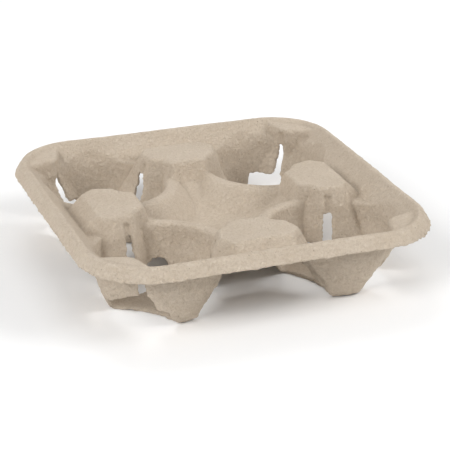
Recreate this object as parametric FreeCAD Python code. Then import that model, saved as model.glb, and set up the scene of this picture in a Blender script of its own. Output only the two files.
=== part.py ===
import FreeCAD, Part
import math
import os

# A moulded-pulp carrier for four cups: one sheet of pulp, pressed into a square tray
# with four cup wells, a raised pad between each two wells, a shelf in each corner and
# a dish in the middle. Millimetres, +Z up, origin on the floor under the middle.

# Sheet and rim
sheet = 2.0             # thickness of the pulp
side = 216.0            # across the lower edge of the skirt
height = 46.5           # floor to the crest of the rim
corner_centre = 65.0    # rim corners turn about this point in x and in y
crest_width = 3.0       # flat of the crest before it is rounded
crest_round = 2.4       # outer rounding of the crest
skirt_drop = 7.8        # the skirt hangs this far below the crest
skirt_flare = 4.8       # and leans out by this much
rim_slope = 45.0        # inner wall of the rim, degrees from upright
deck = 34.0             # level between the wells, where nothing rises or sinks
deck_round = 4.0        # inner rounding where the rim wall meets the deck

# Cup wells
well_centre = 54.0      # well axes lie at this x and y
well_foot = 26.5        # inner radius at the well's floor
well_draft = 20.0       # degrees from upright
floor_round = 4.0       # inner rounding between wall and floor
mouth_round = 3.5       # rounding of the well's mouth over the deck

# Three slits to a well: one to the tray's corner, two to the pads
slit_angles = [0.0, 115.5, -115.5]        # from the corner's direction
slit_low = 7.5          # each slit starts here, inside its window
slit = (-3.0, 3.0, -2.2, 2.2, 29.5)       # sides at the foot, sides at the top, height of the top
odd_slits = {            # (corner counted from the one at +x, +y, slit): sides and top
    (0, 0): (0.3, 5.0, 2.4, 4.2, 33.5),
    (1, 0): (-6.4, -0.8, -4.8, 0.2, 32.0),
    (1, 2): (-3.3, 4.6, -1.8, 3.2, 32.0),
    (2, 0): (2.9, 8.6, 3.6, 9.0, 32.0),
    (2, 2): (-1.9, 3.7, -1.7, 1.6, 32.0),
    (3, 0): (-1.5, 2.5, -0.5, 2.0, 33.0),
    (3, 1): (-2.6, 3.4, -2.2, 2.4, 28.5),
}
groove_width = 4.6      # shallow groove that runs up from each slit
groove_depth = 1.0
groove_tops = [41.5, 39.5, 39.5]

# Windows torn open below the slits: outline from foot to foot, along the wall and up
window = [(-20.0, 0.0), (-12.0, 13.5), (12.0, 13.5), (20.0, 0.0)]
odd_windows = {
    (0, 0): [(-3.0, 0.0), (0.0, 13.6), (20.0, 13.3), (20.0, 0.0)],
    (1, 0): [(-20.0, 0.0), (-12.0, 13.0), (-4.0, 13.5), (0.0, 9.0), (13.0, 8.5), (20.0, 0.0)],
    (2, 0): [(-20.0, 0.0), (-20.0, 9.0), (-13.4, 12.8), (-4.7, 17.6), (2.9, 21.0), (8.6, 22.5),
             (10.4, 19.1), (10.9, 11.6), (17.5, 10.6), (19.0, 0.0)],
    (2, 2): [(-22.0, 0.0), (-22.0, 12.0), (-19.0, 13.5), (-16.0, 13.5), (-13.0, 10.8), (10.0, 11.5),
             (20.0, 0.0)],
    (3, 0): [(-8.0, 0.0), (-2.0, 17.0), (7.0, 17.0), (20.0, 0.0)],
    (3, 1): [(-20.0, 0.0), (-13.5, 10.0), (15.5, 10.0), (20.0, 0.0)],
    (3, 2): [(-20.0, 0.0), (-10.0, 16.5), (6.0, 16.5), (20.0, 0.0)],
}
star_reach = 14.5       # the floor plate ends this far from the well's axis
star_hollow = 73.0      # radius of its hollow edges

# Pads at the middle of each side: half outline of the flat top, front pad, x and y
pad_top = 44.1
pad_half = [(18.2, 79.5), (24.4, 71.5), (20.8, 59.5), (14.6, 55.7), (10.6, 49.4)]
pad_drafts = [30.0, 22.0, 16.0, 16.0]     # of the faces from one point to the next
pad_outer_draft = 45.0
pad_nose_draft = 16.0
pad_edge_round = 2.6
pad_corner_round = 3.0

# Shelves in the rim's corners: a blunt corner that points at the well's axis
shelf_top = 44.6
shelf_corner = 78.0     # x and y of that point
shelf_turn = 17.0       # each edge leans back by these degrees
shelf_draft = 3.0
shelf_edge_round = 2.4
shelf_corner_round = 7.0
ramp_start = 35.5       # below each shelf a flat ramp leaves the well's wall at this radius
ramp_level = 30.0       # and this height
ramp_slope = 29.0

# Dish in the middle
dish_floor = 19.0
dish_radius = 50.0      # of the bowl at deck level
ridge_radius = 41.5     # dish side of the ridge, from the well's axis
ridge_round = 8.0
ridge_slope = 48.0      # flank of the ridge, degrees from upright

least_round = 1.1       # edges under the sheet are sharp below this radius
step = 0.25             # of the sheet, by which hidden faces miss one another
clear = 5.0             # tools run past the stock by this much
hair = 1e-4


def tan(degrees):
    return math.tan(math.radians(degrees))


def cos(degrees):
    return math.cos(math.radians(degrees))


def sin(degrees):
    return math.sin(math.radians(degrees))


def turned(shape, degrees):
    """A copy turned about the tray's middle."""
    copy = shape.copy()
    copy.rotate(FreeCAD.Vector(0, 0, 0), FreeCAD.Vector(0, 0, 1), degrees)
    return copy


def square_frustum(reach_low, reach_high, z_low, z_high):
    """Tapered square block whose rounded corners turn about corner_centre."""
    c = corner_centre
    rise = z_high - z_low
    parts = []
    for sx in (-1, 1):
        for sy in (-1, 1):
            low, high = reach_low - c, reach_high - c
            at = FreeCAD.Vector(sx * c, sy * c, z_low)
            if abs(low - high) < hair:
                parts.append(Part.makeCylinder(low, rise, at))
            else:
                parts.append(Part.makeCone(low, high, rise, at))
    section = [(-reach_low, z_low), (reach_low, z_low), (reach_high, z_high), (-reach_high, z_high)]
    corners = [FreeCAD.Vector(-c, y, z) for y, z in section]
    bar = Part.Face(Part.makePolygon(corners + corners[:1])).extrude(FreeCAD.Vector(2 * c, 0, 0))
    parts += [bar, turned(bar, 90.0)]
    return parts[0].multiFuse(parts[1:]).removeSplitter()


def loops_at(shape, z):
    """Edges that lie level at a height."""
    return [e for e in shape.Edges if abs(e.BoundBox.ZMin - z) < hair and abs(e.BoundBox.ZMax - z) < hair]


def rounded(shape, radius, edges):
    """Fillets, left out where the sheet's thickness uses up the radius."""
    return shape.makeFillet(radius, edges) if radius > least_round else shape


def rim_block(wall):
    """Everything below the skirt and the crest, before the tray is hollowed out."""
    crest_half = side / 2 - skirt_flare
    lean = math.degrees(math.atan2(skirt_flare, skirt_drop))
    inset = wall / cos(lean)
    hem = height - skirt_drop
    z_high = height - wall
    z_low = hem if wall == 0 else hem - clear
    half_low = side / 2 - inset + (hem - z_low) * tan(lean)
    half_high = crest_half - inset + wall * tan(lean)
    cap = square_frustum(half_low, half_high, z_low, z_high)
    cap = rounded(cap, crest_round - wall, loops_at(cap, z_high))
    core_half = side / 2 - 2 * sheet + wall * step
    bottom = 0.0 if wall == 0 else -clear
    core = square_frustum(core_half, core_half, bottom, hem + wall * step)
    return cap.fuse(core)


def basin(wall):
    """The hollow inside the rim, down to the deck."""
    crest_inner = side / 2 - skirt_flare - crest_width
    grow = wall / cos(rim_slope)
    z_low = deck - wall
    z_high = height + clear
    low = crest_inner - (height - z_low) * tan(rim_slope) + grow
    high = low + (z_high - z_low) * tan(rim_slope)
    hollow = square_frustum(low, high, z_low, z_high)
    return hollow.makeFillet(deck_round + wall, loops_at(hollow, z_low))


def drafted_block(outline, drafts, z_top, z_low, wall):
    """Block with a level top, where each side face leans out by its own draft."""
    def level(z):
        lines = []
        for k, draft in enumerate(drafts):
            (ax, ay), (bx, by) = outline[k], outline[(k + 1) % len(outline)]
            length = math.hypot(bx - ax, by - ay)
            nx, ny = (by - ay) / length, (ax - bx) / length
            out = (z_top - z) * tan(draft) - wall / cos(draft)
            lines.append((nx, ny, nx * ax + ny * ay + out))
        points = []
        for k, (nx, ny, d) in enumerate(lines):
            px, py, e = lines[k - 1]
            det = px * ny - py * nx
            points.append(FreeCAD.Vector((e * ny - d * py) / det, (d * px - e * nx) / det, z))
        return Part.makePolygon(points + points[:1])
    return Part.makeLoft([level(z_low), level(z_top - wall)], True, True)


def upright_edges(shape):
    return [e for e in shape.Edges if e.BoundBox.ZLength > clear]


def pad(wall):
    """Raised pad between two wells, at the front side."""
    right = [(x, -y) for x, y in pad_half]
    left = [(-x, y) for x, y in reversed(right)]
    outline = right + left
    drafts = pad_drafts + [pad_nose_draft] + pad_drafts[::-1] + [pad_outer_draft]
    block = drafted_block(outline, drafts, pad_top, -clear, wall)
    block = rounded(block, pad_corner_round - wall, upright_edges(block))
    return rounded(block, pad_edge_round - wall, loops_at(block, pad_top - wall))


def shelf(wall):
    """Block that stays standing in the corner at +x, +y."""
    far = side / 2 + clear
    near = shelf_corner - (far - shelf_corner) * tan(shelf_turn)
    drafts = [0.0, 0.0, shelf_draft, shelf_draft]
    outline = [(far, near), (far, far), (near, far), (shelf_corner, shelf_corner)]
    block = drafted_block(outline, drafts, shelf_top, -clear, wall)
    apex = min(upright_edges(block), key=lambda e: e.BoundBox.XMin + e.BoundBox.YMin)
    block = rounded(block, shelf_corner_round - wall, [apex])
    inner = far - 2 * clear
    rim = [e for e in loops_at(block, shelf_top - wall) if e.BoundBox.XMin < inner and e.BoundBox.YMin < inner]
    return rounded(block, shelf_edge_round - wall, rim)


def ramp(wall):
    """Flat ramp in a well, across the direction of the tray's corner."""
    z_low, z_high = -clear, height + clear
    reach = 2 * well_radius(height, sheet)
    level = ramp_start + wall / cos(ramp_slope)
    foot, head = [level + (z - ramp_level) * tan(ramp_slope) for z in (z_low, z_high)]
    section = [(foot, z_low), (reach, z_low), (reach, z_high), (head, z_high)]
    corners = [FreeCAD.Vector(x, -reach, z) for x, z in section]
    block = Part.Face(Part.makePolygon(corners + corners[:1])).extrude(FreeCAD.Vector(0, 2 * reach, 0))
    return placed(block, 45.0)


def revolved(edges, centre):
    """Solid of revolution about an upright axis through centre."""
    face = Part.Face(Part.Wire(edges))
    solid = face.revolve(FreeCAD.Vector(0, 0, 0), FreeCAD.Vector(0, 0, 1), 360)
    solid.translate(FreeCAD.Vector(centre, centre, 0))
    return solid


def line(a, b):
    return Part.LineSegment(FreeCAD.Vector(a[0], 0, a[1]), FreeCAD.Vector(b[0], 0, b[1])).toShape()


def arc(a, middle, b):
    points = [FreeCAD.Vector(r, 0, z) for r, z in (a, middle, b)]
    return Part.Arc(*points).toShape()


def well_radius(z, wall):
    return well_foot + (z - sheet) * tan(well_draft) + wall / cos(well_draft)


def well(wall):
    """The cup well at +x, +y."""
    z_low = sheet - wall
    z_high = height + clear
    at = FreeCAD.Vector(well_centre, well_centre, z_low)
    cone = Part.makeCone(well_radius(z_low, wall), well_radius(z_high, wall), z_high - z_low, at)
    return cone.makeFillet(floor_round + wall, loops_at(cone, z_low))


def mouth_centre():
    """Radius of the centre line of the mouth's rounding."""
    z = deck - mouth_round + mouth_round * sin(well_draft)
    return well_radius(z, 0) + mouth_round * cos(well_draft)


def mouth(wall):
    """What the rounding of a well's mouth takes off the deck."""
    r_mid, z_mid, r = mouth_centre(), deck - mouth_round, mouth_round - wall
    foot = (r_mid - r * cos(well_draft), z_mid + r * sin(well_draft))
    half = (90.0 + well_draft) / 2
    halfway = (r_mid - r * cos(half), z_mid + r * sin(half))
    top = (r_mid, z_mid + r)
    return revolved([line((0, foot[1]), foot), arc(foot, halfway, top),
                     line(top, (0, top[1])), line((0, top[1]), (0, foot[1]))], well_centre)


def ridge(wall):
    """The dish side of the ridge around one well."""
    r = ridge_round - wall
    z_mid = deck - ridge_round
    turn = 90.0 - ridge_slope
    top = (ridge_radius, z_mid + r)
    halfway = (ridge_radius + r * sin(turn / 2), z_mid + r * cos(turn / 2))
    foot = (ridge_radius + r * sin(turn), z_mid + r * cos(turn))
    z_low = dish_floor - 2 * clear
    toe = (foot[0] + (foot[1] - z_low) * tan(ridge_slope), z_low)
    return revolved([line((0, top[1]), top), arc(top, halfway, foot), line(foot, toe),
                     line(toe, (0, z_low)), line((0, z_low), (0, top[1]))], well_centre)


def quarter():
    """The quarter of space at +x, +y, which holds one whole well."""
    reach = side / 2 + clear
    return Part.makeBox(reach, reach, height + 4 * clear, FreeCAD.Vector(0, 0, -2 * clear))


def dish(wall):
    """Bowl in the middle, inside the ridge."""
    depth = deck - dish_floor
    bowl_round = (dish_radius ** 2 + depth ** 2) / (2 * depth)
    ball = Part.makeSphere(bowl_round + wall, FreeCAD.Vector(0, 0, dish_floor + bowl_round))
    reach = bowl_round + clear
    slab = Part.makeBox(reach, reach, deck - wall, FreeCAD.Vector(0, 0, 0))
    return ball.common(slab).cut(ridge(wall))


def inward():
    """The half of the quarter that lies nearer the dish than the well's axis does."""
    reach = 2 * well_centre
    corners = [FreeCAD.Vector(x, y, 0) for x, y in ((0, 0), (reach, 0), (0, reach), (0, 0))]
    return Part.Face(Part.makePolygon(corners)).extrude(FreeCAD.Vector(0, 0, height))


def below_surface(wall):
    """All that lies under the sheet's upper face, sunk by wall, in one quarter."""
    raised = [turned(pad(wall), 90.0), turned(pad(wall), 180.0), shelf(wall)]
    tools = [basin(wall).common(quarter()), mouth(wall).common(inward()), dish(wall), well(wall).cut(ramp(wall))]
    return rim_block(wall).common(quarter()).cut([tool.cut(raised) for tool in tools])


def radial(outline, inner, degrees):
    """Prism that runs outward from a well's axis, on an outline across it."""
    corners = [FreeCAD.Vector(inner, y, z) for y, z in outline]
    face = Part.Face(Part.makePolygon(corners + corners[:1]))
    solid = face.extrude(FreeCAD.Vector(well_radius(height, sheet) + clear - inner, 0, 0))
    return placed(solid, degrees)


def placed(solid, degrees):
    solid.rotate(FreeCAD.Vector(0, 0, 0), FreeCAD.Vector(0, 0, 1), degrees)
    solid.translate(FreeCAD.Vector(well_centre, well_centre, 0))
    return solid


def groove_room():
    """The well's walls eaten away to the depth of a groove."""
    raised = [turned(pad(groove_depth), 90.0), turned(pad(groove_depth), 180.0), shelf(groove_depth)]
    return well(groove_depth).cut(raised + [ramp(groove_depth)])


def well_openings(corner, room):
    """Slits, windows and grooves of one well, before it is turned to its corner."""
    cuts = []
    for k, angle in enumerate(slit_angles):
        degrees = 45.0 + angle
        outline = odd_windows.get((corner, k), window)
        sill = [(outline[0][0], -clear), (outline[-1][0], -clear)]
        opening = radial(sill + outline[::-1], star_reach, degrees)
        at = FreeCAD.Vector(star_reach + star_hollow, 0, -height)
        cuts.append(opening.common(placed(Part.makeCylinder(star_hollow, 2 * height, at), degrees)))
        foot_right, foot_left, right, left, top = odd_slits.get((corner, k), slit)
        cuts.append(radial([(foot_right, slit_low), (foot_left, slit_low), (left, top), (right, top)],
                           star_reach, degrees))
        low, high = (right + left - groove_width) / 2, (right + left + groove_width) / 2
        strip = radial([(low, slit_low), (high, slit_low), (high, groove_tops[k]), (low, groove_tops[k])],
                       0.0, degrees)
        cuts.append(strip.common(room))
    return cuts


def tray():
    part = below_surface(0.0).cut(below_surface(sheet))
    room = groove_room()
    quarters = [turned(part.cut(well_openings(k, room)), 90.0 * k) for k in range(4)]
    return quarters[0].multiFuse(quarters[1:]).removeSplitter()


shape = tray()
carrier = max(shape.Solids, key=lambda s: s.Volume)
box = carrier.BoundBox
print("valid", carrier.isValid(), "volume", round(carrier.Volume, 1), "faces", len(carrier.Faces))
print("box", [round(v, 2) for v in (box.XMin, box.YMin, box.ZMin, box.XMax, box.YMax, box.ZMax)])
print("solids", [round(s.Volume, 2) for s in shape.Solids])
carrier.exportStep("parts/carrier_tray.step")
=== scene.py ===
import math

import bmesh
import bpy
import numpy as np
from mathutils import Matrix, Vector, kdtree, noise
from mathutils.bvhtree import BVHTree


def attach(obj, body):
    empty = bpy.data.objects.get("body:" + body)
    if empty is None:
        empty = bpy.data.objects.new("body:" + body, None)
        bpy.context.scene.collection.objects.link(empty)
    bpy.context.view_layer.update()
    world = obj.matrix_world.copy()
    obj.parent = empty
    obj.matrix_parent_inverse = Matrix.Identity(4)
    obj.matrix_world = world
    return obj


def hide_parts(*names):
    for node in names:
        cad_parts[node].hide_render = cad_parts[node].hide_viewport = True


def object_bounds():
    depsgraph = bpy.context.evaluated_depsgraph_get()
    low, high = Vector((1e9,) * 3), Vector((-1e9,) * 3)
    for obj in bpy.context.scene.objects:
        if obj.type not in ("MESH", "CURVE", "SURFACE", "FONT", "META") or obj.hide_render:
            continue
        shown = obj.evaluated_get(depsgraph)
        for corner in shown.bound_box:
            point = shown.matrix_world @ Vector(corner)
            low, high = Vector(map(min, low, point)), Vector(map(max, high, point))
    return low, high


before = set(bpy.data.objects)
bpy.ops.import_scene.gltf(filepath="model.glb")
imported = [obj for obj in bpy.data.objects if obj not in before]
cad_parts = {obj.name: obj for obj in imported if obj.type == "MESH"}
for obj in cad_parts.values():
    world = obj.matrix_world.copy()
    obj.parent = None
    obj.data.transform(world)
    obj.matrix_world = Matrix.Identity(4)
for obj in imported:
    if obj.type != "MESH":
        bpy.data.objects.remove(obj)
cad_low, cad_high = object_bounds()

MM = 0.001

# ---- The sheet of pulp, mm. Pairs are where something starts and where it is at its full or gone
WELD = 0.01             # corners of the solid's faces closer than this are one
VOXEL = 0.75            # the solid is rebuilt in cells of this size
PIECE_TRIANGLES = 190000
SOFTENING = 2           # rounds of smoothing that take the sharpness off the mould's creases
SOFTENING_STEP = 0.5
SKIN = 0.5              # a look at the pulp behind a face starts this far below it
EDGE_DEPTH = 3.4        # a face with more pulp than this behind it is a torn edge
CREST_ROOM = 0.4        # bumps may stand this far above the solid's crest

FRAY = ((4.6, 0.55), (1.9, 0.5))        # size of the tears' bumps and how far they reach
FRAY_FADE = (0.4, 2.6)                  # from a torn edge
HEM_RISE = (33.0, 37.0)                 # at this height the edge is trimmed, not torn
HEM_CALM = 0.6                          # and frays less by this share
RAGGED_AT = (100.0, -84.0)              # but is badly trimmed around this point
RAGGED_FADE = (14.0, 34.0)
RAGGED_GAIN = 1.3                       # and frays more there

WELL_CENTRE = 54.0                      # the wells' axes lie at this x and y
LEG_BULGE = 2.4                         # the photograph's legs stand this much wider than the solid's
LEG_TOP = (22.0, 36.0)                  # heights over which that fades out
LEG_INNER = (15.0, 24.0)                # distances from the well's axis
LEG_OUTER = (42.0, 48.0)

WRINKLE_SIZE = 4.2                      # folds of the wet sheet
WRINKLE_HEIGHTS = (0.06, 0.22, 0.34)    # anywhere, more on steep walls, more on the underside
WRINKLE_BEND = (7.0, 1.6)               # the folds wander: over what length and how far
GRAIN_SIZE = 2.3                        # clumps of fibre
GRAIN_HEIGHTS = (0.07, 0.07)            # anywhere, more on steep walls
LUMP_SIZE, LUMP_HEIGHT = 9.0, 0.12
WARP_SIZE, WARP_HEIGHT = 75.0, 0.5
STEEP = (0.55, 0.95)                    # upward part of the direction that a face looks in
UNDERSIDE = (-0.25, 0.15)               # and the same
SEED = Vector((31.7, 12.3, 5.9))
NOISE_SEED = 23         # without it, Blender's noise vectors differ from one run to the next

# ---- The photograph's viewpoint: a long lens about a metre away, a little to the left
CAMERA_TURN, CAMERA_RISE, CAMERA_ROLL = -21.051, 23.553, 0.459      # degrees
CAMERA_AIM = (0.802, -14.086, 25.0)     # mm
CAMERA_DISTANCE = 0.995319              # m
CAMERA_LENS, CAMERA_SENSOR = 131.19, 36.0

# ---- Light
SKY_LIGHT = 0.42
FLOOR_HALF = 3.0                        # m
LAMPS = [                               # name, place, aim, side of the square in m, watts
    ("left_softbox", (-1.8, -0.9, 1.4), (0, 0, 0.02), 1.2, 37.0),
    ("right_softbox", (1.9, -0.9, 1.3), (0, 0, 0.02), 1.2, 35.0),
    ("sweep_softbox", (0.1, 1.3, 1.5), (0.2, 0.8, 0), 1.0, 9.0),
]


# ---------------------------------------------------------------- helpers

def linear(hex_colour):
    """An sRGB colour written as hex, in the renderer's linear values."""
    parts = [int(hex_colour[k:k + 2], 16) / 255 for k in (1, 3, 5)]
    flat = [v / 12.92 if v <= 0.04045 else ((v + 0.055) / 1.055) ** 2.4 for v in parts]
    return (*flat, 1.0)


def add(tree, kind, settings=None, **links):
    """A node, its settings by socket, attribute or number of input, the stops of a ramp of
    colours, and what feeds it, where _0 is input 0."""
    node = tree.nodes.new(kind)
    for name, value in (settings or {}).items():
        if name == "stops":
            for stop, (position, hex_colour) in zip(node.color_ramp.elements, value):
                stop.position = position
                stop.color = linear(hex_colour)
        elif isinstance(name, int) or name in node.inputs:
            node.inputs[name].default_value = value
        else:
            setattr(node, name, value)
    for name, source in links.items():
        socket = int(name[1:]) if name[1:].isdigit() else name.replace("_", " ")
        tree.links.new(source, node.inputs[socket])
    return node


def smoothstep(span, values):
    """0 below the span, 1 above it."""
    low, high = span
    t = np.clip((values - low) / (high - low), 0.0, 1.0)
    return t * t * (3 - 2 * t)


def coordinates(mesh):
    flat = np.zeros(len(mesh.vertices) * 3, np.float32)
    mesh.vertices.foreach_get("co", flat)
    return flat.reshape(-1, 3).astype(float)


def normals(mesh):
    flat = np.zeros(len(mesh.vertices) * 3, np.float32)
    mesh.vertex_normals.foreach_get("vector", flat)
    return flat.reshape(-1, 3).astype(float)


def put(mesh, points):
    mesh.vertices.foreach_set("co", points.astype(np.float32).ravel())
    mesh.update()


def applied(piece, kind, **settings):
    """A modifier added and applied at once."""
    modifier = piece.modifiers.new(kind.lower(), kind)
    for name, value in settings.items():
        setattr(modifier, name, value)
    graph = bpy.context.evaluated_depsgraph_get()
    mesh = bpy.data.meshes.new_from_object(piece.evaluated_get(graph))
    piece.modifiers.clear()
    piece.data = mesh


# ---------------------------------------------------------------- the moulded tray

def rebuilt_copy(node):
    """The node's shape as one even skin, and a tree to look into the sharp solid with."""
    mesh = node.data.copy()
    bm = bmesh.new()
    bm.from_mesh(mesh)
    bmesh.ops.remove_doubles(bm, verts=bm.verts, dist=WELD * MM)
    bm.to_mesh(mesh)
    bm.free()
    mesh.materials.clear()
    piece = bpy.data.objects.new("pulp_tray", mesh)
    bpy.context.scene.collection.objects.link(piece)
    corners = [v.co.copy() for v in mesh.vertices]
    sharp = BVHTree.FromPolygons(corners, [p.vertices[:] for p in mesh.polygons])
    applied(piece, "REMESH", mode="VOXEL", voxel_size=VOXEL * MM)
    return piece, sharp


def torn_edge_distance(piece, sharp):
    """Distance of each vertex from the nearest torn or trimmed edge of the sheet."""
    points, facing = coordinates(piece.data), normals(piece.data)
    torn = []
    for p, n in zip(points, facing):
        start = Vector(p) - Vector(n) * (SKIN * MM)
        hit = sharp.ray_cast(start, -Vector(n), 3 * EDGE_DEPTH * MM)
        if hit[0] is None or hit[3] > (EDGE_DEPTH - SKIN) * MM:
            torn.append(Vector(p))
    tree = kdtree.KDTree(len(torn))
    for k, p in enumerate(torn):
        tree.insert(p, k)
    tree.balance()
    return np.array([tree.find(Vector(p))[2] for p in points]) / MM


def vector_noise(points, size, seed):
    """Smooth random vectors, about -1 to 1, with bumps of that size in mm."""
    shift = SEED * seed
    scale = 1.0 / (size * MM)
    return np.array([noise.noise_vector(Vector(p) * scale + shift) for p in points])


def value_noise(points, size, seed):
    """Smooth random heights, about -1 to 1, with bumps of that size in mm."""
    shift = SEED * seed
    scale = 1.0 / (size * MM)
    return np.array([noise.noise(Vector(p) * scale + shift) for p in points])


def leg_spread(points):
    """Outward push, away from each well's axis, of the legs the tray stands on."""
    flat = points / MM
    away = flat[:, :2] - np.sign(flat[:, :2]) * WELL_CENTRE
    reach = np.maximum(np.hypot(away[:, 0], away[:, 1]), 1.0)
    weight = (1 - smoothstep(LEG_TOP, flat[:, 2])) * smoothstep(LEG_INNER, reach)
    weight *= 1 - smoothstep(LEG_OUTER, reach)
    push = np.zeros_like(points)
    push[:, :2] = away / reach[:, None] * (weight * LEG_BULGE)[:, None]
    return push


def weather(piece, sharp):
    """Frayed edges, the wrinkled felt side, the calmer mould side and a slight warp."""
    border = torn_edge_distance(piece, sharp)
    applied(piece, "SMOOTH", factor=SOFTENING_STEP, iterations=SOFTENING)
    points, facing = coordinates(piece.data), normals(piece.data)
    from_ragged = np.hypot(points[:, 0] / MM - RAGGED_AT[0], points[:, 1] / MM - RAGGED_AT[1])
    ragged = 1.0 - smoothstep(RAGGED_FADE, from_ragged)
    hem = smoothstep(HEM_RISE, points[:, 2] / MM)
    near = (1.0 - smoothstep(FRAY_FADE, border)) * (1.0 - hem * (HEM_CALM - RAGGED_GAIN * ragged))
    fray = sum(vector_noise(points, size, k + 1) * reach for k, (size, reach) in enumerate(FRAY))
    steep = 1.0 - smoothstep(STEEP, facing[:, 2])
    under = 1.0 - smoothstep(UNDERSIDE, facing[:, 2])
    bent = points + vector_noise(points, WRINKLE_BEND[0], 3) * WRINKLE_BEND[1] * MM
    wrinkle = np.abs(value_noise(bent, WRINKLE_SIZE, 4)) * 2 - 0.5
    grain = value_noise(points, GRAIN_SIZE, 5)
    lumps = value_noise(points, LUMP_SIZE, 6)
    height = (wrinkle * (WRINKLE_HEIGHTS[0] + WRINKLE_HEIGHTS[1] * steep + WRINKLE_HEIGHTS[2] * under)
              + grain * (GRAIN_HEIGHTS[0] + GRAIN_HEIGHTS[1] * steep) + lumps * LUMP_HEIGHT)
    warp = vector_noise(points, WARP_SIZE, 7) * WARP_HEIGHT
    moves = near[:, None] * fray + height[:, None] * facing + warp + leg_spread(points)
    put(piece.data, points + moves * MM)
    triangles = sum(len(p.vertices) - 2 for p in piece.data.polygons)
    if triangles > PIECE_TRIANGLES:
        applied(piece, "DECIMATE", ratio=PIECE_TRIANGLES / triangles)
    for polygon in piece.data.polygons:
        polygon.use_smooth = True


def stand_on_floor(piece):
    """Keeps the tray from sinking into the floor or rising past the crest by more than a bump."""
    points = coordinates(piece.data)
    points[:, 2] = np.clip(points[:, 2], cad_low.z, cad_high.z + CREST_ROOM * MM)
    put(piece.data, points)


# ---------------------------------------------------------------- moulded paper pulp

def moulded_pulp():
    """Grey-brown recycled paper pulp, vacuum moulded and dried. Dead matt, mottled by clumps
    of pale fibre, with dark flecks of ink and bark. The IOR is that of cellulose."""
    material = bpy.data.materials.new("moulded_pulp")
    material.use_nodes = True
    tree = material.node_tree
    tree.nodes.clear()
    where = add(tree, "ShaderNodeTexCoord").outputs["Object"]

    # Mottling at four sizes in mm, each with its detail, roughness and distortion
    mottle = {}
    for name, size, detail, rough, bend in (
            ("clouds", 26.0, 3.0, 0.55, 0.0),       # tone where the pulp lay thicker
            ("clumps", 1.9, 5.0, 0.75, 0.6),        # pale clumps of fibre, 1 to 3 mm
            ("dips", 1.3, 4.0, 0.75, 0.4),          # darker dips between the clumps
            ("felt", 1.5, 6.0, 0.75, 0.5)):         # single fibres
        settings = {"Scale": 1 / (size * MM), "Detail": detail, "Roughness": rough, "Distortion": bend}
        mottle[name] = add(tree, "ShaderNodeTexNoise", settings, Vector=where).outputs["Fac"]

    # Painted shade: creases and hollows, found by their pointiness, are darkened as shadow would darken
    # them
    pointed = add(tree, "ShaderNodeNewGeometry").outputs["Pointiness"]
    colour, clumps, dips, painted_crease_shade = [
        add(tree, "ShaderNodeValToRGB", {"stops": stops}, Fac=source).outputs["Color"]
        for source, stops in (
            (mottle["clouds"], ((0.35, "#CBBBA7"), (0.65, "#D2C3B0"))),
            (mottle["clumps"], ((0.40, "#000000"), (0.62, "#FFFFFF"))),
            (mottle["dips"], ((0.50, "#000000"), (0.66, "#FFFFFF"))),
            (pointed, ((0.40, "#FFFFFF"), (0.50, "#000000"))))]

    # Dark flecks up to 0.7 mm across, about one to every 3 square centimetres
    cells = add(tree, "ShaderNodeTexVoronoi", {"Scale": 1 / (3.2 * MM), "Randomness": 1.0}, Vector=where)
    chosen = add(tree, "ShaderNodeSeparateColor", None, Color=cells.outputs["Color"])
    spot = add(tree, "ShaderNodeMath", {"operation": "LESS_THAN", 1: 0.11}, _0=cells.outputs["Distance"])
    few = add(tree, "ShaderNodeMath", {"operation": "GREATER_THAN", 1: 0.84}, _0=chosen.outputs[0])
    flecks = add(tree, "ShaderNodeMath", {"operation": "MULTIPLY"}, _0=spot.outputs[0], _1=few.outputs[0])

    # Each stain, and the painted shade in the creases, is laid over the tone before it
    for mask, strength, stain in ((clumps, 0.55, "#DCCFBF"), (dips, 0.38, "#AB977E"),
                                  (flecks.outputs[0], 0.5, "#7A6650"), (painted_crease_shade, 0.75, "#8F7B63")):
        amount = add(tree, "ShaderNodeMath", {"operation": "MULTIPLY", 1: strength}, _0=mask).outputs[0]
        settings = {"data_type": "RGBA", 7: linear(stain)}
        colour = add(tree, "ShaderNodeMix", settings, _0=amount, _6=colour).outputs[2]

    # The felt of the surface: fibres and the clumps' own height
    relief = add(tree, "ShaderNodeMath", {"operation": "ADD"}, _0=mottle["felt"], _1=clumps).outputs[0]
    bump = add(tree, "ShaderNodeBump", {"Strength": 0.85, "Distance": 0.55 * MM}, Height=relief)
    shader = add(tree, "ShaderNodeBsdfPrincipled",
                 {"Roughness": 0.93, "IOR": 1.5, "Specular IOR Level": 0.28},
                 Base_Color=colour, Normal=bump.outputs["Normal"])
    add(tree, "ShaderNodeOutputMaterial", None, Surface=shader.outputs["BSDF"])
    return material


# ---------------------------------------------------------------- studio

def studio_floor():
    """A pale sweep that shows white to the camera where no shadow lies."""
    bm = bmesh.new()
    bmesh.ops.create_grid(bm, x_segments=1, y_segments=1, size=FLOOR_HALF)
    mesh = bpy.data.meshes.new("studio_floor")
    bm.to_mesh(mesh)
    bm.free()
    floor = bpy.data.objects.new("studio_floor", mesh)
    bpy.context.scene.collection.objects.link(floor)
    material = bpy.data.materials.new("white_paper_sweep")
    material.use_nodes = True
    shader = material.node_tree.nodes["Principled BSDF"]
    shader.inputs["Base Color"].default_value = linear("#F7F7F7")
    shader.inputs["Roughness"].default_value = 0.9
    shader.inputs["Specular IOR Level"].default_value = 0.1
    mesh.materials.append(material)


def lamp(name, place, aim, size, power):
    light = bpy.data.lights.new(name, "AREA")
    light.shape = "SQUARE"
    light.size = size
    light.energy = power
    holder = bpy.data.objects.new(name, light)
    bpy.context.scene.collection.objects.link(holder)
    holder.location = place
    holder.rotation_mode = "QUATERNION"
    holder.rotation_quaternion = (Vector(aim) - Vector(place)).to_track_quat("-Z", "Y")


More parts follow.
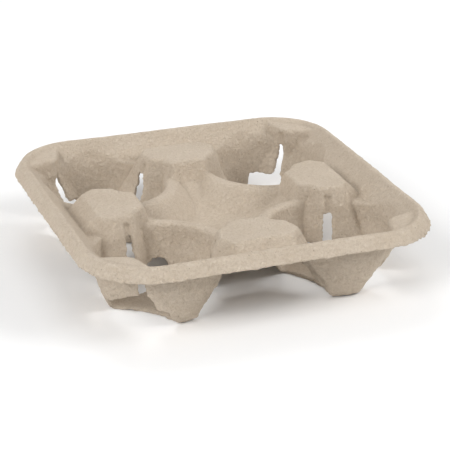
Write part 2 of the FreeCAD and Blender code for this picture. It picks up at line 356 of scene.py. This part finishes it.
def sky():
    """Even pale light that looks pure white to the camera, to mirrors and through glass."""
    world = bpy.data.worlds.new("studio_sky")
    bpy.context.scene.world = world
    world.use_nodes = True
    tree = world.node_tree
    tree.nodes.clear()
    path = add(tree, "ShaderNodeLightPath").outputs
    seen = path["Is Camera Ray"]
    for other in (path["Is Glossy Ray"], path["Is Transmission Ray"]):
        seen = add(tree, "ShaderNodeMath", {"operation": "MAXIMUM"}, _0=seen, _1=other).outputs[0]
    dim = add(tree, "ShaderNodeBackground", {"Color": linear("#FFFFFF"), "Strength": SKY_LIGHT})
    bright = add(tree, "ShaderNodeBackground", {"Color": linear("#FFFFFF"), "Strength": 1.0})
    mix = add(tree, "ShaderNodeMixShader", None, _0=seen, _1=dim.outputs[0], _2=bright.outputs[0])
    add(tree, "ShaderNodeOutputWorld", None, Surface=mix.outputs[0])


def camera():
    turn, rise, roll = [math.radians(v) for v in (CAMERA_TURN, CAMERA_RISE, CAMERA_ROLL)]
    level = math.cos(rise)
    back = Vector((math.sin(turn) * level, -math.cos(turn) * level, math.sin(rise)))
    flat = (-back).cross(Vector((0, 0, 1))).normalized()
    top = flat.cross(-back)
    right = flat * math.cos(roll) + top * math.sin(roll)
    up = top * math.cos(roll) - flat * math.sin(roll)
    data = bpy.data.cameras.new("photo_view")
    data.lens = CAMERA_LENS
    data.sensor_width = CAMERA_SENSOR
    data.clip_start, data.clip_end = 0.01, 20.0
    holder = bpy.data.objects.new("photo_view", data)
    bpy.context.scene.collection.objects.link(holder)
    axes = Matrix((right, up, back)).transposed().to_4x4()
    place = Vector(CAMERA_AIM) * MM + back * CAMERA_DISTANCE
    holder.matrix_world = Matrix.Translation(place) @ axes
    bpy.context.scene.camera = holder


# ---------------------------------------------------------------- scene

noise.seed_set(NOISE_SEED)
tray, sharp_tree = rebuilt_copy(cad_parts["carrier_tray"])
weather(tray, sharp_tree)
stand_on_floor(tray)
tray.data.materials.append(moulded_pulp())
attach(tray, "root")
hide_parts("carrier_tray")

studio_floor()
sky()
for row in LAMPS:
    lamp(*row)
camera()
bpy.context.scene.view_settings.view_transform = "Standard"
